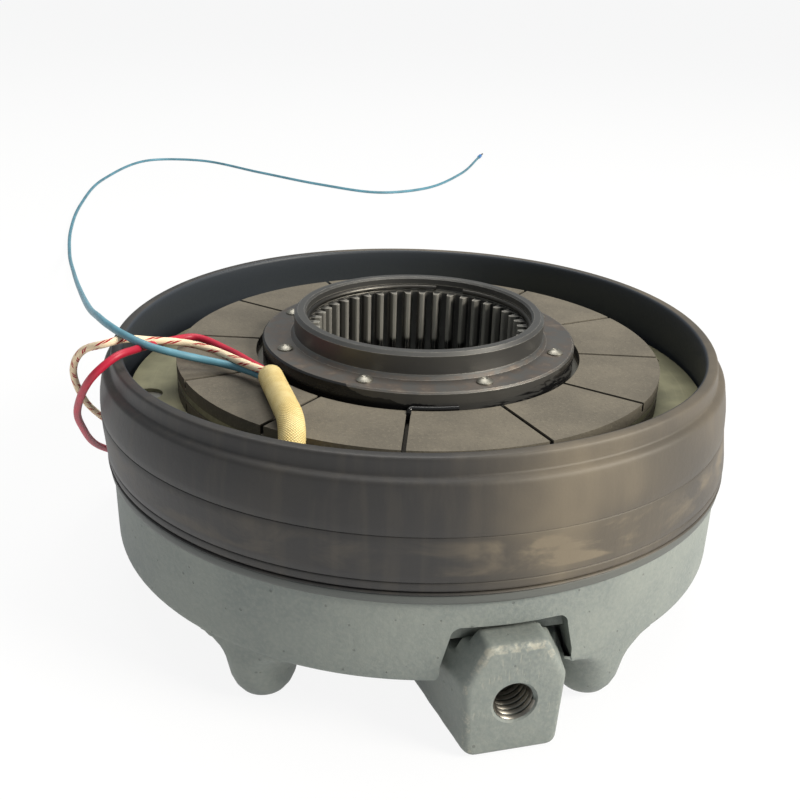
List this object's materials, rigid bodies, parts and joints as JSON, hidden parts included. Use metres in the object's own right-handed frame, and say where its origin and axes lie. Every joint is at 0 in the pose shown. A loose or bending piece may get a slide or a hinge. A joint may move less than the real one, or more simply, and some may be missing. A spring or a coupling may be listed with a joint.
{
  "type": "spring applied brake",
  "caption": "Electromagnetic spring-applied disc brake with a splined hub, slotted friction lining, rubber sealing collar, hand release lever and loose coil leads.",
  "frame": {"origin": "centre of the shaft bore at the magnet's pole face", "axes": "+Z along the shaft axis from the magnet towards the friction disc, -Y along the release lever"},
  "size_m": [0.3996, 0.8276, 0.0833],
  "materials": {
    "housing_paint": "satin grey paint over a casting",
    "collar_rubber": "satin moulded rubber",
    "plate_steel": "ground steel, dull",
    "lining": "matt resin-bonded friction material",
    "hub_steel": "turned and broached steel, dark",
    "bright_steel": "plated steel",
    "coil_copper": "enamelled copper wire",
    "bobbin_plastic": "moulded plastic",
    "potting_resin": "cast resin",
    "grommet_rubber": "moulded rubber",
    "sleeve_braid": "woven glass-fibre sleeve",
    "blue_insulation": "satin wire insulation",
    "red_insulation": "satin wire insulation",
    "white_insulation": "satin wire insulation with a tracer",
    "tie_plastic": "moulded plastic",
    "ferrule_plastic": "moulded plastic",
    "ferrule_tin": "tinned copper"
  },
  "bodies": {
    "magnet": {"magnet_body": "housing_paint", "coil_bobbin": "bobbin_plastic", "coil_winding": "coil_copper", "coil_potting": "potting_resin", "brake_springs": "bright_steel", "guide_pins": "bright_steel", "sealing_collar": "collar_rubber", "cable_grommet": "grommet_rubber", "cable_sleeve": "sleeve_braid", "blue_lead": "blue_insulation", "red_lead": "red_insulation", "white_lead": "white_insulation", "red_lead_coil": "red_insulation", "white_lead_coil": "white_insulation", "lead_coil_ties": "tie_plastic", "blue_ferrule_collar": "ferrule_plastic", "blue_ferrule_tip": "ferrule_tin", "red_ferrule_collar": "ferrule_plastic", "red_ferrule_tip": "ferrule_tin", "white_ferrule_collar": "ferrule_plastic", "white_ferrule_tip": "ferrule_tin"},
    "plate": {"pressure_plate": "plate_steel", "release_studs": "bright_steel", "release_washers": "bright_steel", "release_nuts": "bright_steel"},
    "disc": {"lower_lining": "lining", "lining_carrier": "plate_steel", "upper_lining": "lining", "spline_hub": "hub_steel", "hub_rivets": "bright_steel", "retaining_ring": "hub_steel"},
    "lever": {"release_lever": "housing_paint"}
  },
  "joints": [
    {"name": "disc_spin", "type": "hinge", "parent": "magnet", "child": "disc", "pos_m": [0, 0, 0], "axis": [0, 0, 1], "continuous": true},
    {"name": "lever_release", "type": "hinge", "parent": "magnet", "child": "lever", "pos_m": [0, -0.03, -0.0271], "axis": [-1, 0, 0], "range_deg": [0, 1.14]},
    {"name": "plate_travel", "type": "slide", "parent": "magnet", "child": "plate", "axis": [0, 0, 1], "range_m": [-0.0006, 0], "deforming": ["brake_springs"]}
  ],
  "couplings": [
    {"joint": "plate_travel", "follows": "lever_release", "m_per_rad": -0.03}
  ]
}
